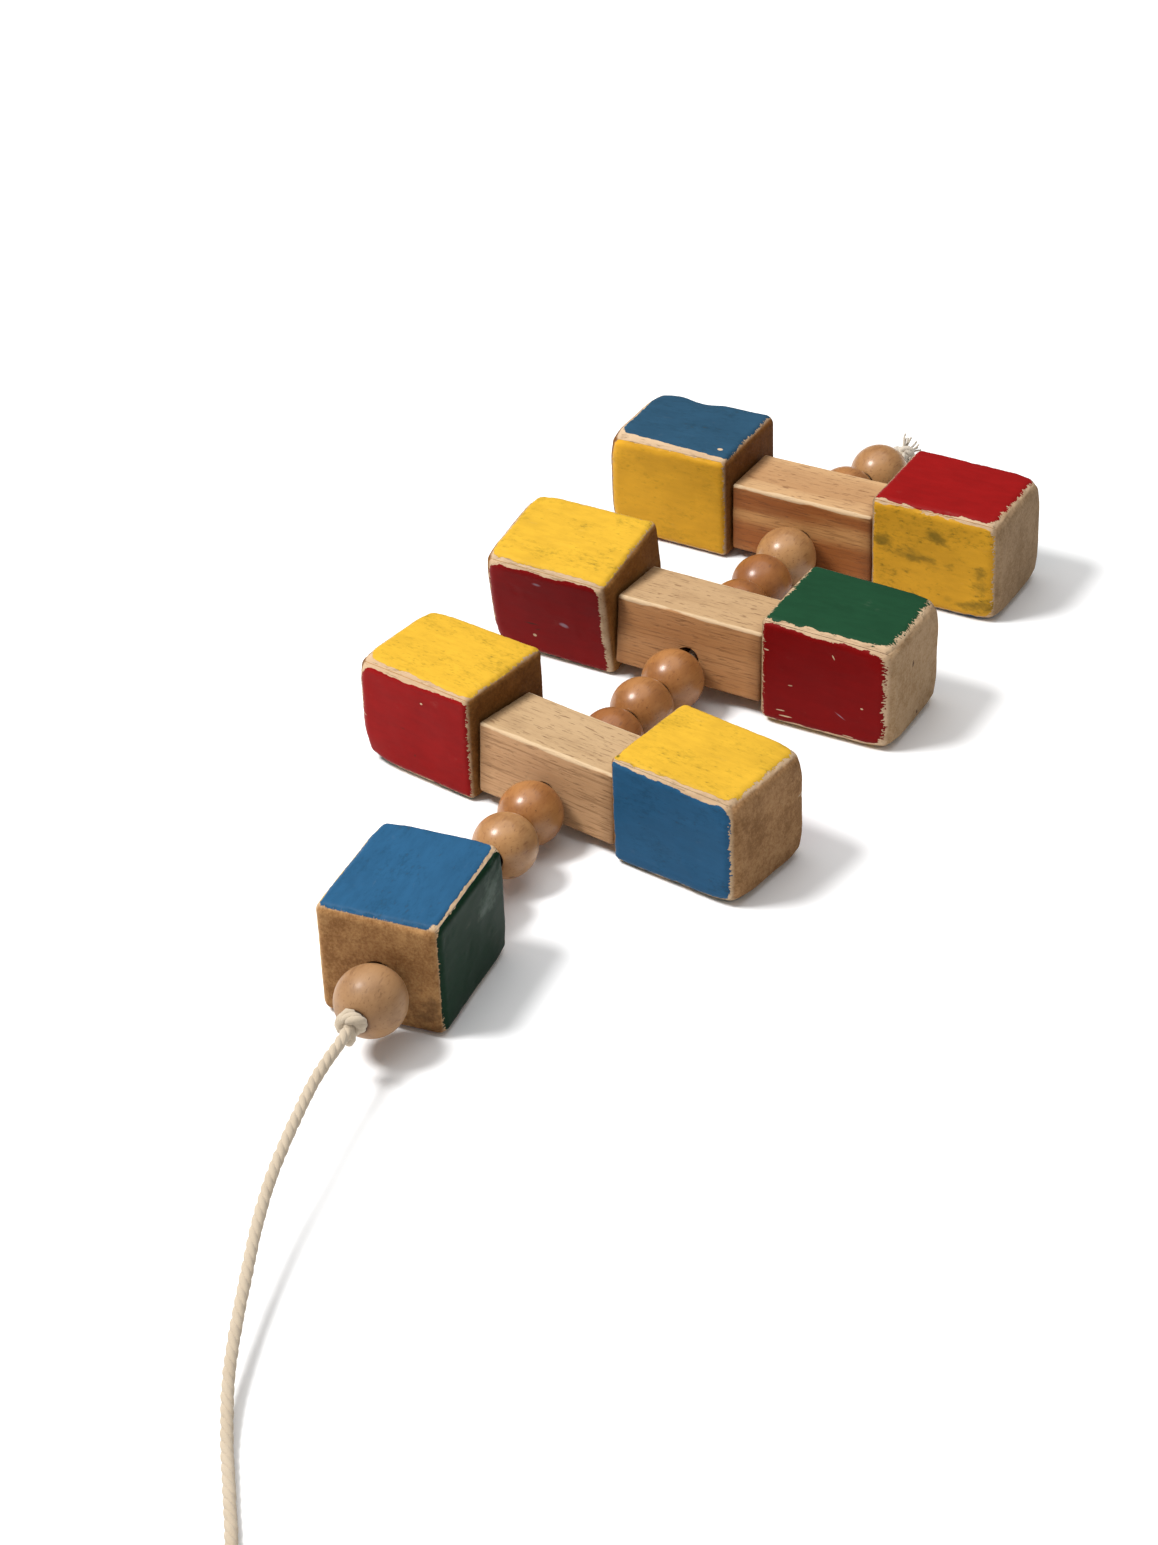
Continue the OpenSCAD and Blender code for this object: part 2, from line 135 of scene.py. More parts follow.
pull_path = [Vector(p) for p in slack_points]
turns = 0.0
while path_length(pull_path) < CORD_LENGTH - 0.002:
    pull_path.append(coil_point(turns))
    turns += 1 / POINTS_PER_TURN
print("pull cord:", round(path_length(pull_path), 4), "m, of which", round(turns, 2), "turns are coiled")

# %% [markdown]
# ## Writing node maths as plain expressions
#
# Every finish below is built from arithmetic on positions and noise. A small
# class wraps a node socket so that `a * b + c` makes the Math nodes for it, and
# one function makes any other node. The same two serve Geometry Nodes.


# %% Node helpers
class Field:
    """A node socket that takes part in arithmetic: numbers make Math nodes, places make Vector Math nodes."""

    def __init__(self, tree, socket):
        self.tree, self.socket = tree, socket

    def math(self, kind, *rest):
        maths = "ShaderNodeVectorMath" if self.socket.type == "VECTOR" else "ShaderNodeMath"
        return node(self.tree, maths, [self, *rest], operation=kind)

    def __add__(self, other):
        return self.math("ADD", other)

    def __sub__(self, other):
        return self.math("SUBTRACT", other)

    def __mul__(self, other):
        return self.math("MULTIPLY", other)

    def __truediv__(self, other):
        return self.math("DIVIDE", other)

    __radd__, __rmul__ = __add__, __mul__

    def __rsub__(self, other):
        return node(self.tree, "ShaderNodeMath", [other, self], operation="SUBTRACT")

    def above(self, low, high):
        """0 below low, 1 above high, and smooth between."""
        return node(self.tree, "ShaderNodeMapRange", {"Value": self, "From Min": low, "From Max": high},
                    interpolation_type="SMOOTHSTEP")


def node(tree, kind, inputs=(), out=0, **settings):
    """Makes a node, sets or links its inputs, and gives back one output as a Field."""
    made = tree.nodes.new(kind)
    for name, value in settings.items():
        setattr(made, name, value)
    for key, value in inputs.items() if isinstance(inputs, dict) else enumerate(inputs):
        if isinstance(value, Field):
            tree.links.new(value.socket, made.inputs[key])
        elif value is not None:
            made.inputs[key].default_value = value
    return Field(tree, made.outputs[out])


def xyz(vector):
    split = node(vector.tree, "ShaderNodeSeparateXYZ", [vector])
    outs = split.socket.node.outputs
    return [Field(vector.tree, outs[i]) for i in range(3)]


def join(x, y, z):
    tree = next(f.tree for f in (x, y, z) if isinstance(f, Field))
    return node(tree, "ShaderNodeCombineXYZ", [x, y, z])


def vmath(kind, *inputs):
    tree = next(i.tree for i in inputs if isinstance(i, Field))
    return node(tree, "ShaderNodeVectorMath", list(inputs), operation=kind)


def scaled(vector, by):
    return node(vector.tree, "ShaderNodeVectorMath", {0: vector, "Scale": by}, operation="SCALE")


def distance(a, b):
    return node(a.tree, "ShaderNodeVectorMath", [a, b], out=1, operation="DISTANCE")


def noise(vector, scale, detail=2.0, rough=0.5, warp=0.0):
    return node(vector.tree, "ShaderNodeTexNoise",
                {"Vector": vector, "Scale": scale, "Detail": detail, "Roughness": rough, "Distortion": warp})


def mix(tree, factor, a, b):
    """Colour a where factor is 0 and colour b where it is 1."""
    made = tree.nodes.new("ShaderNodeMix")
    made.data_type = "RGBA"
    for key, value in ((0, factor), (6, a), (7, b)):
        if isinstance(value, Field):
            tree.links.new(value.socket, made.inputs[key])
        else:
            is_rgb = isinstance(value, tuple) and len(value) == 3
            made.inputs[key].default_value = (*value, 1) if is_rgb else value
    return Field(tree, made.outputs[2])


def material(name):
    """A new material, with its tree and its Principled node."""
    made = bpy.data.materials.new(name)
    made.use_nodes = True
    return made, made.node_tree, made.node_tree.nodes["Principled BSDF"]


def plug(tree, shader, **sockets):
    """Links Fields, or sets numbers, on a shader's named sockets."""
    for key, value in sockets.items():
        socket = shader.inputs[key.replace("_", " ")]
        if isinstance(value, Field):
            tree.links.new(value.socket, socket)
        else:
            socket.default_value = value


def bumped(height, distance_m, strength=1.0):
    return node(height.tree, "ShaderNodeBump",
                {"Strength": strength, "Distance": distance_m, "Height": height})


print("helpers ready")

# %% [markdown]
# ## The worn block
#
# Every cube is one rule: a box whose edges and corners are rounded, then worn.
# A vertex is first clamped to a smaller core box; its distance from that core,
# scaled to the edge radius, gives the round edge. The far end has its own,
# longer radius along the grain, because that end knocks against things, and its
# four corners are worn back further. Noise then pulls the surface in, most of all
# along the edges, and one knock can be placed where it is given.

# %% Geometry nodes for a worn block
def group_socket(tree, name, kind, value, is_output=False):
    made = tree.interface.new_socket(name, in_out="OUTPUT" if is_output else "INPUT", socket_type=kind)
    if value is not None:
        made.default_value = value
    return made.identifier


worn = bpy.data.node_groups.new("Worn block", "GeometryNodeTree")
worn_ids = {
    "geometry_in": group_socket(worn, "Geometry", "NodeSocketGeometry", None),
    "size": group_socket(worn, "Size", "NodeSocketVector", (0.043, 0.0355, 0.0355)),
    "near": group_socket(worn, "Near edge", "NodeSocketFloat", 0.003),
    "far": group_socket(worn, "Far edge", "NodeSocketFloat", 0.0045),
    "back": group_socket(worn, "Far edge along grain", "NodeSocketFloat", 0.005),
    "wear": group_socket(worn, "Wear", "NodeSocketFloat", 0.0004),
    "wave": group_socket(worn, "Wave", "NodeSocketFloat", 0.0003),
    "seed": group_socket(worn, "Seed", "NodeSocketFloat", 1.0),
    "knock_at": group_socket(worn, "Knock place", "NodeSocketVector", (0.021, 0, 0)),
    "knock_reach": group_socket(worn, "Knock reach", "NodeSocketFloat", 0.012),
    "knock_depth": group_socket(worn, "Knock depth", "NodeSocketFloat", 0.0),
    "corner_depth": group_socket(worn, "Corner wear", "NodeSocketFloat", 0.0),
    "corner_reach": group_socket(worn, "Corner reach", "NodeSocketFloat", 0.010),
    "cuts": group_socket(worn, "Cuts", "NodeSocketInt", 72),
}
group_socket(worn, "Geometry", "NodeSocketGeometry", None, is_output=True)
given = {s.name: Field(worn, s) for s in worn.nodes.new("NodeGroupInput").outputs if s.name}
box_mesh = node(worn, "GeometryNodeMeshCube", [given["Size"], given["Cuts"], given["Cuts"], given["Cuts"]])
at = node(worn, "GeometryNodeInputPosition")
x, y, z = xyz(at)
# the radius of the long edges goes from the near end's to the far end's
along = x / (xyz(given["Size"])[0] * 0.5) * 0.5 + 0.5
edge = given["Near edge"] + (given["Far edge"] - given["Near edge"]) * along
far_half = x.math("GREATER_THAN", 0.0)
end_edge = given["Near edge"] + (given["Far edge along grain"] - given["Near edge"]) * far_half
radii = join(end_edge, edge, edge)
HALF = (0.5, 0.5, 0.5)
core = given["Size"] * HALF - radii
inner = vmath("MINIMUM", vmath("MAXIMUM", at, core * (-1, -1, -1)), core)
round_by = vmath("NORMALIZE", vmath("DIVIDE", at - inner, radii))
outward = vmath("NORMALIZE", vmath("DIVIDE", round_by, radii))
# how far round an edge a point is: 0 on a flat side, 1 in the middle of an edge
out_x, out_y, out_z = xyz(vmath("ABSOLUTE", outward))
on_edge = (1 - out_x.math("MAXIMUM", out_y).math("MAXIMUM", out_z)).above(0.0, 0.22)
spot = at + join(given["Seed"], given["Seed"] * 1.7, given["Seed"] * 0.6)
broad = noise(spot, 45) - 0.5
fine = noise(spot, 260, 3.0, 0.6) - 0.5
dents = noise(spot, 130, 1.0).above(0.66, 0.8)
knock_far = distance(at, given["Knock place"])
knock = (1 - knock_far / given["Knock reach"]).above(0.0, 1.0) * given["Knock depth"]
corner_far = distance(join(x, y.math("ABSOLUTE"), z.math("ABSOLUTE")), given["Size"] * HALF)
corner = (1 - corner_far / given["Corner reach"]).above(0.0, 1.0) * given["Corner wear"]
pull = knock + corner + given["Wave"] * broad.math("ABSOLUTE") * 4 + given["Wear"] * (
    on_edge * (fine.math("ABSOLUTE") * 3 + 0.2) + fine.math("ABSOLUTE") * 0.15 + dents * 0.35)
settled = inner + round_by * radii - scaled(outward, pull)
placed = node(worn, "GeometryNodeSetPosition", {"Geometry": box_mesh, "Position": settled})
smooth = node(worn, "GeometryNodeSetShadeSmooth", {"Geometry": placed})
worn.links.new(smooth.socket, worn.nodes.new("NodeGroupOutput").inputs[0])
print("worn block nodes:", len(worn.nodes))


# %% A helper that applies a node group
def applied(thing):
    """The mesh of an object with its modifiers applied; the object itself is removed."""
    bpy.context.view_layer.update()
    graph = bpy.context.evaluated_depsgraph_get()
    mesh = bpy.data.meshes.new_from_object(thing.evaluated_get(graph), preserve_all_data_layers=True,
                                           depsgraph=graph)
    bpy.data.objects.remove(thing)
    return mesh


def grown_mesh(name, group, ids, base=None, **values):
    """Runs a node group with the given inputs and gives back the finished mesh."""
    data = base if base is not None else bpy.data.meshes.new(name)
    carrier = bpy.data.objects.new(name, data)
    scene.collection.objects.link(carrier)
    modifier = carrier.modifiers.new("Rule", "NODES")
    modifier.node_group = group
    for key, value in values.items():
        modifier[ids[key]] = value
    mesh = applied(carrier)
    mesh.name = name
    return mesh


def drilled(mesh, holes):
    """Cuts round holes: each is (middle, direction, radius, length)."""
    for middle, direction, r, length in holes:
        body = bpy.data.objects.new("body", mesh)
        scene.collection.objects.link(body)
        bpy.ops.mesh.primitive_cylinder_add(vertices=64, radius=r, depth=length)
        tool = bpy.context.active_object
        turn = Vector((0, 0, 1)).rotation_difference(Vector(direction).normalized())
        tool.data.transform(Matrix.Translation(middle) @ turn.to_matrix().to_4x4())
        cut = body.modifiers.new("Drill", "BOOLEAN")
        cut.operation, cut.solver, cut.object = "DIFFERENCE", "EXACT", tool
        mesh = applied(body)
        bpy.data.objects.remove(tool)
    return mesh


def piece(name, mesh, body, nodes, finish):
    """Puts a finished mesh in the scene, in place of its CAD nodes, and lets it ride."""
    made = bpy.data.objects.new(name, mesh)
    scene.collection.objects.link(made)
    mesh.materials.clear()
    mesh.materials.append(finish)
    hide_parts(*nodes)
    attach(made, body)
    return made


print("piece helpers ready")

# %% [markdown]
# ## Bare wood
#
# Bare wood is layered: pale earlywood, darker rings, short dark pores along the
# grain and grime where hands have been. Stretching one noise along the grain
# gives both the rings and the pores; only its scale changes.


# %% A bare wood recipe
def along_grain(vector, squeeze, offset=0.0):
    """The place on the piece, squeezed along its grain (local X)."""
    x, y, z = xyz(vector)
    return join(x * squeeze + offset, y, z)


def wood_colour(place, offset, pale, mid, dark, rings=1.0, scale=1.0, dashes=0.5):
    """Colour and height of bare wood with its grain along X."""
    tree = place.tree
    x, y, z = xyz(place)
    slow = noise(along_grain(place, 0.12, offset), 60 * scale, 2.0, 0.5, 0.6)
    ring = ((y * 0.8 + z * 1.1) * 420 * scale + slow * 9).math("SINE") * 0.5 + 0.5
    fleck = noise(along_grain(place, 0.07, offset), 900 * scale, 3.0, 0.6)
    pore = noise(along_grain(place, 0.10, offset * 2), 1900 * scale, 2.0, 0.6).above(0.58, 0.72)
    dash = noise(along_grain(place, 0.20, offset * 3), 1150 * scale, 1.0, 0.5).above(0.66, 0.74)
    tone = (ring * 0.55 * rings + fleck * 0.45 + slow * 0.35).above(0.25, 1.1)
    colour = mix(tree, tone, pale, mid)
    colour = mix(tree, pore * 0.45, colour, dark)
    colour = mix(tree, dash * dashes, colour, dark)
    return colour, pore.math("MAXIMUM", dash), fleck


def end_grain(place, offset, pale, dark):
    """Colour of wood sawn across its grain: close speckles and broad stains."""
    tree = place.tree
    x, y, z = xyz(place)
    flat = join(x * 0.2 + offset, y, z)
    speckle = noise(flat, 1100, 3.0, 0.75)
    mottle = noise(flat, 330, 3.0, 0.6)
    stain = noise(flat, 75, 3.0, 0.6)
    pore = noise(flat, 2100, 1.0, 0.5).above(0.60, 0.74)
    tone = (speckle * 0.9 + mottle * 0.55 + stain * 0.75).above(0.80, 1.42)
    return mix(tree, pore * 0.35, mix(tree, tone, pale, dark), dark), pore, speckle


print("wood recipes ready")

# %% [markdown]
# ## Worn paint
#
# Each long side of a cube has one flat colour, brushed on over bare wood, and the
# ends are left bare. Paint wears back from every edge, so what is left on a side
# is a rectangle with round corners and a ragged outline. The bare strips beside
# its four borders are given in millimetres, measured round the edge from its
# middle, and grow towards the outer end. Noise then shifts the outline before it
# is cut sharply.

# %% Colours and sizes of the blocks
RED, YELLOW = (0.225, 0.005, 0.005), (0.545, 0.315, 0.026)
BLUE, GREEN, DEEP_GREEN = (0.018, 0.078, 0.160), (0.010, 0.048, 0.021), (0.005, 0.022, 0.010)
DULL_RED, DULL_BLUE, DULL_YELLOW = (0.165, 0.003, 0.003), (0.020, 0.062, 0.108), (0.52, 0.26, 0.018)
CREAM, TAN, BROWN = (0.54, 0.39, 0.25), (0.40, 0.25, 0.135), (0.10, 0.045, 0.018)
# tints of the marks, each with how strongly it shows; a chip shows bare wood
CHIP = None
# a dent's grey-violet tint is crushed paint with a painted glint where the dent catches the light
DENT_AND_GLINT, DARK, SMOKE = (0.30, 0.24, 0.28, 0.6), (0.03, 0.012, 0.008, 0.9), (0.06, 0.028, 0.012, 0.6)
OLIVE, DUSTY = (0.15, 0.095, 0.012, 0.75), (0.13, 0.17, 0.14, 0.40)
WET_GREEN, PALE_SCRATCH = (0.01, 0.05, 0.008, 1.0), (0.50, 0.42, 0.32, 0.8)
BLOCK, LEAD = (0.043, 0.0355, 0.0355), (0.043, 0.0365, 0.0355)


# %% A painted block recipe
def own_place(tree, seed):
    """Where a point is on its own piece, and the same shifted so that no two pieces share a pattern."""
    place = node(tree, "ShaderNodeAttribute", attribute_name="place", out=1)
    return place, place + (seed * 0.11, seed * 0.07, seed * 0.05)


def mix_value(tree, factor, a, b):
    """Number a where factor is 0 and number b where it is 1."""
    return node(tree, "ShaderNodeMix", {0: factor, 2: a, 3: b}, data_type="FLOAT")


def round_edge(gap, r):
    """How far a point lies from the middle of a rounded edge, measured round it."""
    lean = (1 - gap / r).math("MAXIMUM", 0.0).math("MINIMUM", 1.0).math("ARCSINE")
    return (math.pi / 4 - lean) * r + (gap - r).math("MAXIMUM", 0.0)


def paint_outline(x, across, half_x, half, insets, edges, corners):
    """How far a point lies outside the paint left on its side, in mm, and how near an end it is."""
    outer, inner, low, high = insets
    run = x / (2 * half_x) + 0.5
    widen, round_by = run * 0.6 + 0.7, run * (corners[1] - corners[0]) + corners[0]
    edge_r = run * (edges["far"] - edges["near"]) + edges["near"]
    along_x = (outer - round_edge(half_x - x, edges["back"])).math(
        "MAXIMUM", inner - round_edge(x + half_x, edges["near"]))
    along_v = (low * widen - round_edge(half + across, edge_r)).math(
        "MAXIMUM", high * widen - round_edge(half - across, edge_r))
    corner_x = (along_x + round_by).math("MAXIMUM", 0.0)
    corner_v = (along_v + round_by).math("MAXIMUM", 0.0)
    outline = (corner_x * corner_x + corner_v * corner_v).math("SQRT") - round_by
    return outline, (along_x - along_v).above(-2.0, 2.0)


def brushed(tree, shifted, paint, dirty):
    """Brush strokes, rubbed patches, and dirt in short streaks and smears."""
    strokes = noise(along_grain(shifted, 0.25), 520, 3.0, 0.6)
    patches = noise(shifted, 70, 4.0, 0.6)
    tone = (strokes * 0.5 + patches * 0.5).above(0.25, 0.75)
    paint = node(tree, "ShaderNodeHueSaturation",
                 {"Hue": 0.5, "Saturation": 1.0, "Value": tone * 0.24 + 0.88, "Color": paint})
    smears = noise(along_grain(shifted, 0.6) + (0.3, 0.1, 0.2), 120, 6.0, 0.70)
    streaks = noise(along_grain(shifted, 0.45), 1050, 3.0, 0.7)
    filth = (smears + (streaks - 0.5) * 0.9).above(0.48, 0.80)
    soiled = vmath("MULTIPLY", paint, (0.42, 0.50, 0.45))
    paint = mix(tree, filth * dirty, paint, soiled)
    specks = (streaks + (smears - 0.5) * 0.5).above(0.64, 0.80)
    paint = mix(tree, specks * dirty, paint, (0.06, 0.045, 0.02))
    scuffs = noise(along_grain(shifted, 0.5) + (0.7, 0.4, 0.1), 260, 5.0, 0.7).above(0.60, 0.80)
    return mix(tree, scuffs * 0.06, paint, (0.34, 0.31, 0.26)), strokes, smears


def painted(name, sides, seed, outward, ends, bite, marks, edges, corners=(1.4, 5.0), size=BLOCK):
    """sides: for front, top, back and below, a colour, the bare strips at the outer and inner end
    and along the low and high edge, in mm, and how dirty it is. outward: 1 where the outer end is
    at +X and -1 where it is at -X. marks: (side, along, across, length, width, turn, colour), in
    mm from the middle of the side."""
    made, tree, shader = material(name)
    place, shifted = own_place(tree, seed)
    x, y, z = (part * 1000 for part in xyz(place))
    x = x * outward
    half_x, half_y, half_z = (length * 500 for length in size)
    gap_x = half_x - x.math("ABSOLUTE")
    gap_y = half_y - y.math("ABSOLUTE")
    gap_z = half_z - z.math("ABSOLUTE")
    on_z = (gap_y - gap_z).above(-0.1, 0.1)
    upper, behind = z.math("GREATER_THAN", 0.0), y.math("GREATER_THAN", 0.0)
    across = mix_value(tree, on_z, z, y)

    def per_side(values):
        front, top, back, below = values
        return mix(tree, on_z, mix(tree, behind, front, back), mix(tree, upper, below, top))

    # what is left of the paint: a clean outline, then its bays, ragged edge, teeth and chips
    paint = per_side([s[0] for s in sides])
    outer, inner, dirty = xyz(per_side([(s[1], s[2], s[5]) for s in sides]))
    low, high, _ = xyz(per_side([(s[3], s[4], 0.0) for s in sides]))
    outline, near_end = paint_outline(x, across, half_x, mix_value(tree, on_z, half_z, half_y),
                                      (outer, inner, low, high), edges, corners)
    bays = noise(shifted, 105) - 0.5
    ragged = noise(along_grain(shifted, 0.5), 420, 4.0, 0.62) - 0.5
    teeth = noise(along_grain(shifted, 0.09), 1900, 2.0, 0.6) - 0.5
    outline = outline + bays * 1.7 + (ragged * 2.4 + teeth * (near_end * 3.2 + 0.4)) * bite
    chips = noise(along_grain(shifted, 0.6), 260, 4.0, 0.7).above(0.765, 0.78)
    bare = outline.above(-0.06, 0.06).math("MAXIMUM", chips * 0.9)
    paint, strokes, smears = brushed(tree, shifted, paint, dirty)

    # bare wood on the sides, end grain on the ends
    side_wood, pore, _ = wood_colour(shifted, seed, CREAM, TAN, BROWN, rings=0.4, dashes=0.2)
    end_wood, end_pore, _ = end_grain(shifted, seed, *ends)
    past_edge = gap_y.math("MINIMUM", gap_z) - gap_x
    on_end = past_edge.above(-1.4, 1.0)
    grime = noise(shifted, 190, 5.0, 0.65).above(0.48, 0.80)
    side_wood = mix(tree, grime * 0.40, side_wood, (0.20, 0.105, 0.045))
    wood = mix(tree, on_end, side_wood, end_wood)
    bare = bare.math("MAXIMUM", past_edge.above(-0.1, 0.3))

    # the marks that are listed
    at_outer_end = x.math("GREATER_THAN", 0.0)
    masks = {
        "front": (1 - on_z) * (1 - behind), "top": on_z * upper,
        "end": on_end * at_outer_end, "near": on_end * (1 - at_outer_end),
    }
    for where, along, over, length, width, turn, tint in marks:
        cosine, sine = math.cos(math.radians(turn)), math.sin(math.radians(turn))
        on_wood = where in ("end", "near")
        u, v = (y, z) if on_wood else (x, across)
        du, dv = u - along, v - over
        p, q = (du * cosine + dv * sine) / length, (dv * cosine - du * sine) / width
        far = (p * p + q * q).math("SQRT")
        if tint is CHIP:
            chip = (1 - far - ragged * 1.1).above(0.0, 0.2)
            bare = bare.math("MAXIMUM", chip * masks[where])
            continue
        # a broad stain breaks up into the same smears as the dirt
        broken = (smears - 0.5) * (3.4 if length * width > 4 else 1.0)
        stain = (1 - far + broken - ragged).above(0.0, 0.9) * tint[3] * masks[where]
        if on_wood:
            wood = mix(tree, stain, wood, tint[:3])
        else:
            paint = mix(tree, stain, paint, tint[:3])
    rough = mix_value(tree, bare, 0.46, 0.70) + (strokes - 0.5) * 0.15
    relief = (1 - bare) * 0.5 + strokes * 0.12 - pore * bare * 0.2 - end_pore * on_end * 0.3
    plug(tree, shader, Base_Color=mix(tree, bare, paint, wood), Roughness=rough, Specular_IOR_Level=0.05,
         Normal=bumped(relief, 0.00022, 0.8))
    return made


print("paint recipe ready")

# %% [markdown]
# ## Where each unit stands
#
# The frame gives each part's place, but a block's own axes are needed too, to
# turn its mesh and to keep the paint square to it. They are the headings of the
# lead block and bars, and the roll of the one cube that has not settled flat.

# %% Placing blocks
BAR = (0.0485, 0.023, 0.023)
NO_KNOCK = ((0, 0, 0), 1.0, 0.0)
THROUGH = 0.06  # longer than any block or bar is deep


def middle_of(name):
    lowest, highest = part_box(name)
    return (Vector(lowest) + Vector(highest)) / 2


def axes(heading, lean=0.0, roll=0.0, head=False):
    """The turn of a block: its grain lies across the chain, or along it for the lead block."""
    turned = Matrix.Rotation(math.radians(heading), 4, "Z") @ Matrix.Rotation(math.radians(lean), 4, "Y")
    turned = turned @ Matrix.Rotation(math.radians(roll), 4, "X")
    return turned @ Matrix.Rotation(math.radians(90), 4, "Z") if head else turned


def mark_place(mesh):
    """Keeps each vertex's own place as an attribute, so that a finish stays with the piece."""
    place = mesh.attributes.new("place", "FLOAT_VECTOR", "POINT")
    place.data.foreach_set("vector", [c for v in mesh.vertices for c in v.co])


def block(name, body, node_name, finish, turned, seed, edges, holes,
          side=1, knock=NO_KNOCK, corner=0.6, size=BLOCK):
    """edges and corner wear in mm; knock: where, how far it reaches and how deep, in mm, with the
    outer end at +X."""
    near, far, back = (edges[key] / 1000 for key in ("near", "far", "back"))
    knock_at, reach, depth = knock
    mesh = grown_mesh(name, worn, worn_ids, size=size, near=near, far=far, back=back,
                      wear=0.0005, wave=0.0002, knock_at=[c / 1000 for c in knock_at],
                      knock_reach=reach / 1000, knock_depth=depth / 1000, seed=seed,
                      corner_depth=corner / 1000, cuts=72)
    if side < 0:
        mesh.transform(Matrix.Scale(-1, 4, (1, 0, 0)))
        mesh.flip_normals()
    mesh = drilled(mesh, holes)
    mark_place(mesh)
    mesh.transform(Matrix.Translation(middle_of(node_name)) @ turned)
    return piece(name, mesh, body, [node_name], finish)


LEAD_EDGE = {"near": 3.0, "far": 3.0, "back": 3.0}
lead_sides = ((DEEP_GREEN, 0.6, 0.2, 0.3, 0.3, 0.3), (BLUE, 0.3, 0.0, 1.2, 0.0, 0.40),
              (YELLOW, 1.0, 1.0, 1.0, 0.6, 0.3), (RED, 1.0, 1.0, 1.0, 1.0, 0.3))
lead_ends = ((0.38, 0.205, 0.082), (0.185, 0.082, 0.028))
lead_marks = [
    ("front", 11, 8, 8, 7, 30, DUSTY),
    ("top", -20.2, -16.6, 1.9, 1.1, 40, CHIP),
    ("top", 19.5, -17.0, 2.2, 1.2, 20, CHIP),
    ("near", -13, -12, 9, 8, 0, SMOKE),
]
LEAD_HOLE_HEIGHT, LEAD_HOLE_R = 0.0161, 0.005
lead_finish = painted("Lead block paint", lead_sides, 3.0, 1, lead_ends, 0.7, lead_marks, LEAD_EDGE,
                      corners=(3.6, 3.4), size=LEAD)
lead_hole = ((0, 0, LEAD_HOLE_HEIGHT - LEAD[2] / 2), (1, 0, 0), LEAD_HOLE_R, THROUGH)
lead = block("Lead_block", "lead", "head_block", lead_finish, axes(6.5, head=True), 3.0, LEAD_EDGE,
             [lead_hole], size=LEAD)
print("lead block faces:", len(lead.data.polygons))

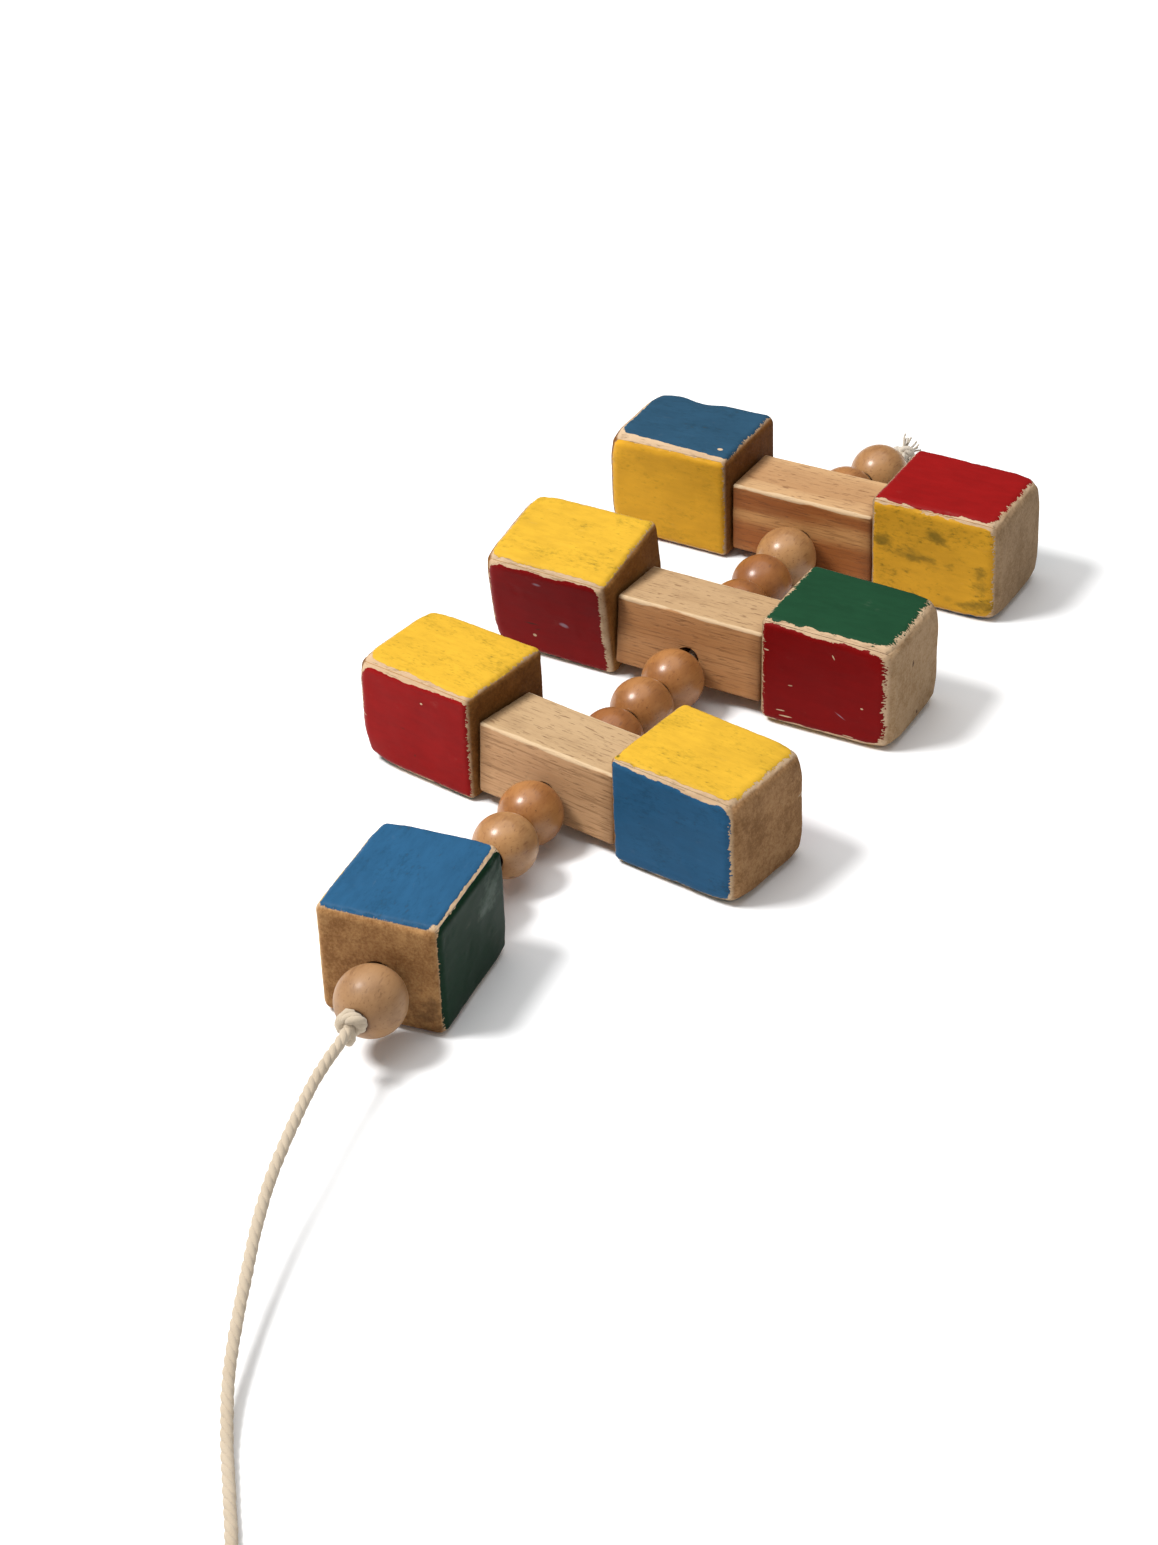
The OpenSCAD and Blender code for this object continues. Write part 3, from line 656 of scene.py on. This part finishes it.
# %% The six cubes
# For each: its sides in order, front, top, back and below, as painted() takes
# them, then how ragged the paint's outline is, then its marks.
headings = {1: -8.6, 2: 0.0, 3: 0.0}
leans = {1: 0.0, 2: 1.0, 3: 0.0}
looks = {
    "1_left": ((RED, 0.8, 0.8, 0.9, 1.4, 0.05), (YELLOW, 1.4, 0.5, 1.4, 0.5, 0.50),
               (BLUE, 1.8, 0.8, 1.2, 1.1, 0.2), (GREEN, 1.6, 0.8, 1.1, 1.1, 0.2), 0.8,
               [("front", -3.8, 10.3, 0.5, 0.35, 0, CHIP), ("front", 4, -1, 1.4, 0.2, 4, DARK),
                ("front", 20, 1, 1.4, 0.2, 3, CHIP), ("front", 19.5, -1.5, 2.2, 0.2, 4, CHIP),
                ("front", 20, -4, 1.2, 0.2, 0, CHIP), ("front", 0, -9, 0.4, 0.5, 0, DARK)]),
    "1_right": ((BLUE, 1.2, 0.3, 0.5, 1.2, 0.45), (YELLOW, 1.3, 0.4, 1.0, 0.5, 0.40),
                (RED, 2.2, 0.7, 1.1, 1.1, 0.2), (GREEN, 2.0, 0.7, 1.1, 1.1, 0.2), 0.7,
                [("top", -19.3, -15.4, 1.0, 0.8, 0, WET_GREEN),
                 ("end", 14, 4, 1.8, 0.22, 8, PALE_SCRATCH)]),
    "2_left": ((DULL_RED, 0.6, 2.2, 0.5, 1.1, 0.1), (YELLOW, 0.9, 0.4, 1.2, 0.7, 0.45),
               (BLUE, 1.8, 0.8, 1.2, 1.1, 0.2), (GREEN, 1.6, 0.8, 1.1, 1.1, 0.2), 0.9,
               [("front", -5.6, -1.5, 2.0, 0.9, 10, DENT_AND_GLINT), ("front", 2.4, 12, 1.8, 0.7, 0, DENT_AND_GLINT),
                ("front", 5.5, -9, 0.8, 0.6, 0, CHIP), ("front", 6, -4.5, 5, 0.4, -3, DARK),
                ("front", 4, -6.2, 1.6, 0.25, -20, DARK)]),
    "2_right": ((DULL_RED, 1.5, 0.6, 1.0, 1.0, 0.0), (GREEN, 1.5, 0.6, 1.3, 0.5, 0.10),
                (BLUE, 2.4, 0.8, 1.2, 1.1, 0.2), (YELLOW, 2.2, 0.8, 1.1, 1.1, 0.3), 1.5,
                [("front", 2.7, 11, 0.25, 1.0, 30, CHIP), ("front", -11, -2.8, 0.7, 0.2, 5, CHIP),
                 ("front", -19, 7.5, 1.0, 0.3, 0, CHIP), ("front", 12.2, -4, 0.5, 0.3, 0, CHIP),
                 ("front", 5.2, -8.5, 2.6, 0.3, -30, DENT_AND_GLINT), ("front", -12.5, -14, 2.4, 0.25, 4, CHIP),
                 ("front", -14, -12.3, 1.6, 0.2, 4, CHIP), ("front", 8, -15, 1.8, 0.25, 0, CHIP),
                 ("end", -3, 6, 1.0, 1.7, -10, DARK), ("end", 1, -13, 0.9, 1.3, 0, DARK)]),
    "3_left": ((DULL_YELLOW, 0.4, 0.5, 0.5, 0.4, 0.35), (DULL_BLUE, 2.0, 0.5, 2.4, 0.4, 0.35),
               (GREEN, 1.8, 0.8, 1.2, 1.1, 0.2), (RED, 1.6, 0.8, 1.1, 1.1, 0.2), 0.7,
               [("top", -16, -11, 1.0, 0.8, 0, CHIP)]),
    "3_right": ((DULL_YELLOW, 0.8, 0.3, 0.4, 0.7, 0.7), (RED, 1.4, 0.4, 0.7, 0.3, 0.0),
                (GREEN, 2.2, 0.8, 1.2, 1.1, 0.2), (BLUE, 2.0, 0.8, 1.1, 1.1, 0.2), 1.0,
                [("front", -3, 0.5, 13, 3.4, 0, OLIVE), ("front", -17, 4, 5, 2.4, 0, OLIVE),
                 ("front", 16, -1, 4, 6, 0, OLIVE), ("front", 10, -12.5, 12, 3, 0, OLIVE),
                 ("front", 1, 9, 5, 2.4, -20, OLIVE)]),
}
# pale and dark tones of the bare ends
end_tones = {
    "1_left": ((0.205, 0.090, 0.024), (0.115, 0.044, 0.010)),
    "1_right": ((0.33, 0.185, 0.085), (0.165, 0.080, 0.030)),
    "2_left": ((0.25, 0.112, 0.030), (0.145, 0.056, 0.012)),
    "2_right": ((0.37, 0.25, 0.145), (0.24, 0.145, 0.070)),
    "3_left": ((0.18, 0.072, 0.018), (0.10, 0.036, 0.008)),
    "3_right": ((0.32, 0.215, 0.125), (0.20, 0.125, 0.065)),
}
# how far each outer end is worn: round its sides, along the grain and at its corners, in mm;
# two of the cubes also have one deep knock
outer_edges = {
    "1_left": (4.3, 4.4, 0.9), "1_right": (4.2, 4.2, 1.2), "2_left": (4.2, 4.3, 0.9),
    "2_right": (4.0, 4.0, 1.0), "3_left": (4.3, 4.5, 1.3), "3_right": (4.0, 4.1, 1.1),
}
knocks = {"1_left": ((21, -18, -18), 14, 0.9), "3_left": ((3, 18, 18), 9, 1.1)}
NEAR_EDGE = 2.8
rolls = {"2_left": 9.5}
BORE_R, BORE_LENGTH, BORE_MIDDLE = 0.00483, 0.0305, 0.006
for index, (where, look) in enumerate(looks.items()):
    unit, side = int(where[0]), -1 if where[2:] == "left" else 1
    *sides, bite, marks = look
    far_edge, grain_edge, corner_wear = outer_edges[where]
    edges = {"near": NEAR_EDGE, "far": far_edge, "back": grain_edge}
    finish = painted("Paint " + where, sides, 5.0 + 2.3 * index, side, end_tones[where], bite, marks, edges)
    turned = axes(headings[unit], leans[unit], rolls.get(where, 0.0))
    # the bore for the axle, found from where the frame's axle and block are
    inward = turned.inverted() @ (middle_of("axle_" + where) - middle_of("block_" + where))
    bore = ((-side * BORE_MIDDLE, inward.y, inward.z), (1, 0, 0), BORE_R, BORE_LENGTH)
    block("Cube_" + where, "cube_" + where, "block_" + where, finish, turned, 1.0 + 3.1 * index, edges,
          [bore], side, knocks.get(where, NO_KNOCK), corner_wear)
print("cubes made:", len(looks))

# %% [markdown]
# ## The bars
#
# The bars are bare pale wood, planed square, with sharp edges that have only
# just begun to round. The same worn-block rule makes them with a small radius.


# %% Bar wood and bars
def bar_finish(name, seed, rings, top, sides, dark):
    """top and sides: pale and middle tones of each. The top is painted lighter and the other sides browner:
    painted light and shade on one wood.
    """
    made, tree, shader = material(name)
    place, shifted = own_place(tree, seed)
    lit_top_colour, pore, fleck = wood_colour(shifted, seed, *top, dark, rings=rings * 0.6, dashes=0.5)
    shaded_side_colour, _, _ = wood_colour(shifted, seed, *sides, dark, rings=rings, dashes=0.2)
    lines = noise(along_grain(shifted, 0.035, seed), 1700, 2.0, 0.6)
    shaded_side_colour = mix(tree, lines.above(0.50, 0.70) * 0.45, shaded_side_colour, dark)
    lit_top_colour = mix(tree, lines.above(0.54, 0.72) * 0.25, lit_top_colour, dark)
    x, y, z = (part * 1000 for part in xyz(place))
    gap_y, gap_z = BAR[1] * 500 - y.math("ABSOLUTE"), BAR[2] * 500 - z
    # the paler top and the browner sides are painted light and shade
    colour = mix(tree, (gap_y - gap_z).above(-0.2, 0.2), shaded_side_colour, lit_top_colour)
    # darker towards both ends, where the bar meets the cubes: painted shade in the joins
    near_end = (x.math("ABSOLUTE") + noise(shifted, 200, 2.0) * 3).above(20.0, 26.0)
    colour = mix(tree, near_end * 0.45, colour, dark)
    grime = noise(shifted, 90, 4.0, 0.6).above(0.5, 0.9)
    colour = mix(tree, grime * 0.3, colour, dark)
    # the upper long edges are pale here and there: wood rubbed by handling, and a painted highlight where
    # these edges catch the light
    rubbed = (1.1 - gap_y - gap_z + (noise(along_grain(shifted, 0.3), 300, 3.0) - 0.5) * 2.0).above(0.0, 0.3)
    colour = mix(tree, rubbed * 0.8, colour, (0.56, 0.41, 0.25))
    plug(tree, shader, Base_Color=colour, Roughness=fleck * 0.2 + 0.55, Specular_IOR_Level=0.15,
         Normal=bumped(fleck * 0.4 - pore * 0.6, 0.00018, 0.7))
    return made


# for each bar: how strong its rings are, then the tones of its top, paler as painted light, and of its sides,
# browner as painted shade, and its dark tone
bar_looks = {
    1: (0.35, ((0.44, 0.295, 0.160), (0.34, 0.21, 0.102)),
        ((0.47, 0.275, 0.140), (0.34, 0.178, 0.080)), (0.12, 0.052, 0.018)),
    2: (0.45, ((0.44, 0.285, 0.150), (0.34, 0.205, 0.098)),
        ((0.42, 0.205, 0.083), (0.30, 0.122, 0.038)), (0.11, 0.043, 0.014)),
    3: (1.3, ((0.50, 0.305, 0.150), (0.37, 0.195, 0.085)),
        ((0.47, 0.235, 0.085), (0.27, 0.086, 0.022)), (0.12, 0.040, 0.012)),
}
bar_rolls = {1: -4.0, 2: -5.0, 3: -1.5}
BAR_EDGE, BAR_HOLE_R, BAR_HOLE_DROP = 0.0009, 0.0037, 0.0024
for unit, (rings, top, sides, dark) in bar_looks.items():
    finish = bar_finish("Bar wood %d" % unit, 2.0 * unit + 0.7, rings, top, sides, dark)
    turned = axes(headings[unit], leans[unit], bar_rolls[unit])
    middle = (middle_of("axle_%d_left" % unit) + middle_of("axle_%d_right" % unit)) / 2
    mesh = grown_mesh("Bar", worn, worn_ids, size=BAR, near=BAR_EDGE, far=BAR_EDGE, back=BAR_EDGE,
                      wear=0.0002, wave=0.0001, seed=20.0 + unit, cuts=64)
    # the cord's hole is level and follows the chain, though the bar itself is rolled a little
    level = turned.inverted().to_3x3()
    cord_way = level @ (Matrix.Rotation(math.radians(headings[unit]), 3, "Z") @ Vector((0, 1, 0)))
    mesh = drilled(mesh, [(level @ Vector((0, 0, -BAR_HOLE_DROP)), cord_way, BAR_HOLE_R, THROUGH)])
    mark_place(mesh)
    mesh.transform(Matrix.Translation(middle) @ turned)
    piece("Bar_%d" % unit, mesh, "unit_%d" % unit, ["crossbar_%d" % unit], finish)
print("bars made:", len(bar_looks))

# %% [markdown]
# ## The beads
#
# Turned wooden beads are balls with a drilled hole and a softened mouth. One
# outline, spun about the hole, makes them all.


# %% Bead outline and beads
def spun(outline, rounds=96):
    """A closed outline of (distance from the axis, height) spun about Z."""
    verts, faces = [], []
    for i in range(rounds):
        a = 2 * math.pi * i / rounds
        verts += [(r * math.cos(a), r * math.sin(a), h) for r, h in outline]
    n = len(outline)
    for i in range(rounds):
        for j in range(n):
            a, b = i * n + j, i * n + (j + 1) % n
            c, d = ((i + 1) % rounds) * n + (j + 1) % n, ((i + 1) % rounds) * n + j
            faces.append((a, d, c, b))
    mesh = bpy.data.meshes.new("spun")
    mesh.from_pydata(verts, [], faces)
    mesh.shade_smooth()
    return mesh


def bead_outline(r, hole_r):
    """A ball's side from mouth to mouth, then the round lips of the mouths and the hole between."""
    mouth_r, lip_depth = hole_r + 0.0007, 0.0016
    tilt = math.asin(mouth_r / r)
    ball = [tilt + (math.pi - 2 * tilt) * i / 64 for i in range(65)]
    outside = [(r * math.sin(a), -r * math.cos(a)) for a in ball]
    rim = outside[-1][1]
    lip = []
    for i in range(1, 9):
        a = i / 8 * math.pi / 2
        lip.append((mouth_r - (mouth_r - hole_r) * math.sin(a), rim - lip_depth * (1 - math.cos(a))))
    return outside + lip + [(across, -up) for across, up in reversed(lip)]


def bead_finish(name, seed, pale, mid, dark, coat, rough):
    made, tree, shader = material(name)
    place = node(tree, "ShaderNodeAttribute", attribute_name="place", out=1)
    x, y, z = xyz(place)
    turned_place = join(z, x, y) + (seed * 0.13, seed * 0.07, seed * 0.05)
    colour, pore, fleck = wood_colour(turned_place, seed, pale, mid, dark, rings=0.5, scale=0.9, dashes=0.25)
    cloud = noise(turned_place, 140, 4.0, 0.6)
    colour = mix(tree, cloud.above(0.45, 0.80) * 0.45, colour, dark)
    nicks = noise(turned_place, 300, 1.0).above(0.76, 0.79)
    colour = mix(tree, nicks * 0.8, colour, (0.03, 0.012, 0.006))
    # the hole and the rim of its mouth are painted dark: painted shade inside the hole
    mouth = ((x * x + y * y).math("SQRT") * 1000).above(3.0, 4.6)
    colour = mix(tree, mouth, (0.075, 0.032, 0.014), colour)
    plug(tree, shader, Base_Color=colour, Roughness=(1 - fleck) * 0.08 + rough, Coat_Weight=coat,
         Specular_IOR_Level=0.25, Coat_Roughness=0.20, Normal=bumped(fleck * 0.3 - pore * 0.5, 0.00008, 0.5))
    return made


DARK_VARNISH = (0.115, 0.034, 0.009)
varnish_tones = [
    ((0.37, 0.165, 0.052), (0.25, 0.090, 0.022)),
    ((0.41, 0.215, 0.085), (0.30, 0.135, 0.046)),
    ((0.31, 0.120, 0.034), (0.20, 0.064, 0.014)),
]
varnished = [
    bead_finish("Varnished bead %d" % i, 3.1 * i + 1.0, pale, mid, DARK_VARNISH, coat=0.35, rough=0.36)
    for i, (pale, mid) in enumerate(varnish_tones)
]
worn_bead = bead_finish("Worn front bead", 7.7, (0.34, 0.19, 0.088), (0.25, 0.125, 0.052),
                        (0.11, 0.046, 0.018), coat=0.08, rough=0.46)
joints = {j["name"]: j for j in frame["joints"]}


def bead(name, body, r, hole_r, finish):
    """A bead on its own body, round the axis that it spins on."""
    joint = joints[body + "_spin"]
    mesh = spun(bead_outline(r, hole_r))
    mark_place(mesh)
    turn = Vector((0, 0, 1)).rotation_difference(Vector(joint["axis"]).normalized())
    mesh.transform(Matrix.Translation(Vector(joint["pos_m"])) @ turn.to_matrix().to_4x4())
    piece(name, mesh, body, [body], finish)


BEAD_R, BEAD_HOLE_R = 0.0094, 0.0035
FRONT_BEAD_R, FRONT_BEAD_HOLE_R = 0.0099, 0.0030
bead("Front_bead", "front_bead", FRONT_BEAD_R, FRONT_BEAD_HOLE_R, worn_bead)
bead_tones = {
    "1a": 0, "1b": 1, "1c": 0,
    "2a": 2, "2b": 0, "2c": 0,
    "3a": 2, "3b": 2, "3c": 1,
    "4a": 0, "4b": 1,
}
for label, tone in bead_tones.items():
    bead("Bead_" + label, "bead_" + label, BEAD_R, BEAD_HOLE_R, varnished[tone])
print("beads made:", 1 + len(bead_tones))

# %% [markdown]
# ## The cord
#
# The cord is three soft cotton plies laid together. The rule copies the route
# three times, moves each copy out from the middle and turns it about the route as
# it goes, then sweeps a round section along it.

# %% Geometry nodes for laid cord
laid = bpy.data.node_groups.new("Laid cord", "GeometryNodeTree")
laid_ids = {
    "route": group_socket(laid, "Geometry", "NodeSocketGeometry", None),
    "thick": group_socket(laid, "Thickness", "NodeSocketFloat", CORD_D),
    "lay": group_socket(laid, "Lay length", "NodeSocketFloat", 0.0105),
    "step": group_socket(laid, "Step", "NodeSocketFloat", 0.0007),
}
group_socket(laid, "Geometry", "NodeSocketGeometry", None, is_output=True)
laid_in = laid.nodes.new("NodeGroupInput")
asked = {s.name: Field(laid, s) for s in laid_in.outputs if s.name}
line = node(laid, "GeometryNodeMeshToCurve", [asked["Geometry"]])
even = node(laid, "GeometryNodeResampleCurve", {"Curve": line, "Length": asked["Step"]}, mode="LENGTH")
copies = node(laid, "GeometryNodeDuplicateElements", {"Geometry": even, "Amount": 3}, domain="SPLINE")
which = Field(laid, copies.socket.node.outputs["Duplicate Index"])
run = Field(laid, laid.nodes.new("GeometryNodeSplineParameter").outputs["Length"])
tangent = node(laid, "GeometryNodeInputTangent")
sideways = vmath("NORMALIZE", vmath("CROSS_PRODUCT", tangent, (0.013, 0.021, 1.0)))
upward = vmath("CROSS_PRODUCT", sideways, tangent)
angle = run / asked["Lay length"] * (2 * math.pi) + which * (2 * math.pi / 3)
# how far a ply's middle lies from the cord's, and the ply's radius, as shares of the thickness
PLY_OUT, PLY_R = 0.165, 0.315
out_by = asked["Thickness"] * PLY_OUT
shift_by = scaled(sideways, angle.math("COSINE") * out_by) + scaled(upward, angle.math("SINE") * out_by)
plies = node(laid, "GeometryNodeSetPosition", {"Geometry": copies, "Offset": shift_by})
plump = noise(node(laid, "GeometryNodeInputPosition"), 420, 2.0) * 0.34 + 0.83
section = node(laid, "GeometryNodeCurvePrimitiveCircle", {"Resolution": 12, "Radius": 1.0})
swept = node(laid, "GeometryNodeCurveToMesh", {"Curve": plies, "Profile Curve": section, "Fill Caps": True,
                                               "Scale": asked["Thickness"] * PLY_R * plump})
soft = node(laid, "GeometryNodeSetShadeSmooth", {"Geometry": swept})
laid.links.new(soft.socket, laid.nodes.new("NodeGroupOutput").inputs[0])
print("laid cord nodes:", len(laid.nodes))


# %% Cotton, and the cord pieces
def cotton(name, tone):
    made, tree, shader = material(name)
    place = node(tree, "ShaderNodeTexCoord", out=3)
    thread = noise(place, 2600, 3.0, 0.7)
    grime = noise(place, 90, 4.0, 0.6)
    colour = mix(tree, thread, tuple(c * 0.80 for c in tone), tone)
    colour = mix(tree, grime.above(0.45, 0.9) * 0.35, colour, (0.34, 0.26, 0.17))
    plug(tree, shader, Base_Color=colour, Roughness=0.88, Specular_IOR_Level=0.1, Sheen_Weight=0.2,
         Normal=bumped(thread, 0.00018, 0.8))
    return made


cotton_finish = cotton("Undyed cotton", (0.52, 0.43, 0.32))
pale_cotton = cotton("Pale cotton", (0.60, 0.53, 0.44))


def smooth_route(points, per=6):
    """A smooth run through the points."""
    run, last = [], len(points) - 1
    for i in range(last):
        a, b, c, d = (Vector(points[min(max(k, 0), last)]) for k in (i - 1, i, i + 1, i + 2))
        for j in range(per):
            t = j / per
            squared, cubed = 2 * a - 5 * b + 4 * c - d, 3 * b - a - 3 * c + d
            run.append(0.5 * (2 * b + (c - a) * t + squared * t * t + cubed * t ** 3))
    run.append(Vector(points[last]))
    return run


def route_mesh(name, points):
    mesh = bpy.data.meshes.new(name)
    mesh.from_pydata([tuple(p) for p in points], [(i, i + 1) for i in range(len(points) - 1)], [])
    return mesh


def laid_cord(name, points, **sizes):
    return grown_mesh(name, laid, laid_ids, base=route_mesh(name, points), **sizes)


pull_route = smooth_route(pull_path, 4)
pull = piece("Pull_cord", laid_cord("Pull cord", pull_route), "lead", ["pull_cord", "pull_cord_coil"],
             cotton_finish)
print("pull cord faces:", len(pull.data.polygons))


def knot_points(middle, size, turn=0.0, flatten=0.75, ragged=0.3):
    """An overhand knot drawn tight, a little unevenly: one strand that passes over and under itself."""
    dice = random.Random(7)
    run, uneven = [], [dice.uniform(-ragged, ragged) for _ in range(6)]
    for i in range(61):
        t = 2 * math.pi * i / 60
        p = Vector((math.sin(t) + 2 * math.sin(2 * t), math.cos(t) - 2 * math.cos(2 * t),
                    -math.sin(3 * t) * 1.25))
        p.x += uneven[0] * math.sin(2 * t + 1) + uneven[1] * math.cos(3 * t)
        p.y += uneven[2] * math.sin(t + 2) + uneven[3] * math.cos(2 * t)
        p.z += uneven[4] * math.sin(2 * t) + uneven[5] * math.cos(t)
        p = Matrix.Rotation(turn, 3, "X") @ p
        run.append(Vector(middle) + Vector((p.x, p.y * flatten, p.z)) * size / 6)
    return run


def frayed(middle, strands=9):
    """Loose yarns that curl up and away from a cut end."""
    dice, made = random.Random(11), []
    for _ in range(strands):
        way = Vector((dice.uniform(-0.2, 1.0), dice.uniform(-0.1, 1.0), dice.uniform(0.1, 1.1))).normalized()
        curl = Vector((dice.uniform(-1, 1), dice.uniform(-1, 1), dice.uniform(-0.6, 0.3))) * 0.0018
        run = [Vector(middle) + way * 0.0066 * s + curl * math.sin(s * 2.6) * s
               for s in (0.3, 0.5, 0.7, 0.85, 1.0)]
        made.append(laid_cord("Fray", smooth_route(run, 4), thick=0.0007, lay=0.003, step=0.0003))
    return made


def joined(name, *meshes):
    """One mesh from several."""
    verts, faces = [], []
    for mesh in meshes:
        start = len(verts)
        verts += [v.co[:] for v in mesh.vertices]
        faces += [[start + i for i in face.vertices] for face in mesh.polygons]
    whole = bpy.data.meshes.new(name)
    whole.from_pydata(verts, [], faces)
    whole.shade_smooth()
    return whole


knot_at = middle_of("front_knot")
front_mesh = laid_cord("Front knot", knot_points(knot_at, 0.0060, 1.2, ragged=0.9), thick=0.0037)
piece("Front_knot", front_mesh, "lead", ["front_knot"], cotton_finish)
rear_at = middle_of("rear_knot")
rear_mesh = joined("Rear knot", laid_cord("Rear knot", knot_points(rear_at, 0.0054, 0.7), thick=0.0030),
                   *frayed(rear_at))
piece("Rear_knot", rear_mesh, "link_4b", ["rear_knot"], pale_cotton)
end_at = coil_point(turns) + Vector((0, 0, 0.0004))
end_mesh = laid_cord("End knot", knot_points(end_at, 0.0052, 0.5), thick=0.003)
end_knot = piece("End_knot", end_mesh, "lead", ["pull_cord_end_knot"], pale_cotton)

# %% The hidden cord, axles and pins keep their frame shapes
inner_wood, tree, shader = material("Dowel wood")
place = node(tree, "ShaderNodeTexCoord", out=3)
colour, _, fleck = wood_colour(place, 1.0, (0.42, 0.27, 0.14), (0.30, 0.18, 0.08), (0.12, 0.06, 0.03))
plug(tree, shader, Base_Color=colour, Roughness=fleck * 0.2 + 0.55)
steel, tree, shader = material("Pin steel")
place = node(tree, "ShaderNodeTexCoord", out=3)
colour = mix(tree, noise(place, 800, 2.0), (0.42, 0.42, 0.44), (0.58, 0.58, 0.60))
plug(tree, shader, Base_Color=colour, Metallic=1.0, Roughness=noise(place, 1500, 2.0) * 0.2 + 0.3)
for name, made in frame["nodes"].items():
    finish = inner_wood if name.startswith("axle") else steel if name.startswith("pin") else None
    if "cord" in name and not name.startswith("pull"):
        finish = cotton_finish
    if finish:
        made.data.materials.clear()
        made.data.materials.append(finish)
print("frame pieces finished")

# %% [markdown]
# ## Floor and light
#
# A white sweep under a large soft light, high on the left. The floor is bright
# enough to reach white, so only the soft shadows on it show.

# %% Floor, light and surroundings
floor_mesh = bpy.data.meshes.new("Floor")
floor_mesh.from_pydata([(-4, -4, 0), (4, -4, 0), (4, 4, 0), (-4, 4, 0)], [], [(0, 1, 2, 3)])
floor = bpy.data.objects.new("Floor", floor_mesh)
scene.collection.objects.link(floor)
floor_finish, tree, shader = material("White floor")
plug(tree, shader, Base_Color=(0.88, 0.88, 0.88, 1), Roughness=0.8)
floor_mesh.materials.append(floor_finish)


def area_light(name, place, aim, size, power):
    data = bpy.data.lights.new(name, "AREA")
    data.shape, data.size, data.energy = "DISK", size, power
    made = bpy.data.objects.new(name, data)
    scene.collection.objects.link(made)
    turn = (Vector(aim) - Vector(place)).to_track_quat("-Z", "Y")
    made.matrix_world = Matrix.Translation(place) @ turn.to_matrix().to_4x4()


area_light("Key", (-0.60, -0.43, 1.2), (0, 0, 0), 0.42, 22)
area_light("Overhead", (-0.2, 0.3, 2.2), (0, 0, 0), 2.6, 28)

world = bpy.data.worlds.new("White room")
scene.world = world
world.use_nodes = True
wt = world.node_tree
wt.nodes.clear()
rays = wt.nodes.new("ShaderNodeLightPath")
through = Field(wt, rays.outputs["Is Transmission Ray"])
seen = Field(wt, rays.outputs["Is Camera Ray"]).math("MAXIMUM", through)
glossy = Field(wt, rays.outputs["Is Glossy Ray"])
room = node(wt, "ShaderNodeBackground", {"Color": (1, 1, 1, 1), "Strength": 0.36 - glossy * 0.2})
white = node(wt, "ShaderNodeBackground", {"Color": (1, 1, 1, 1), "Strength": 1.0})
shown = node(wt, "ShaderNodeMixShader", [seen, room, white])
wt.links.new(shown.socket, wt.nodes.new("ShaderNodeOutputWorld").inputs[0])
print("stage ready")
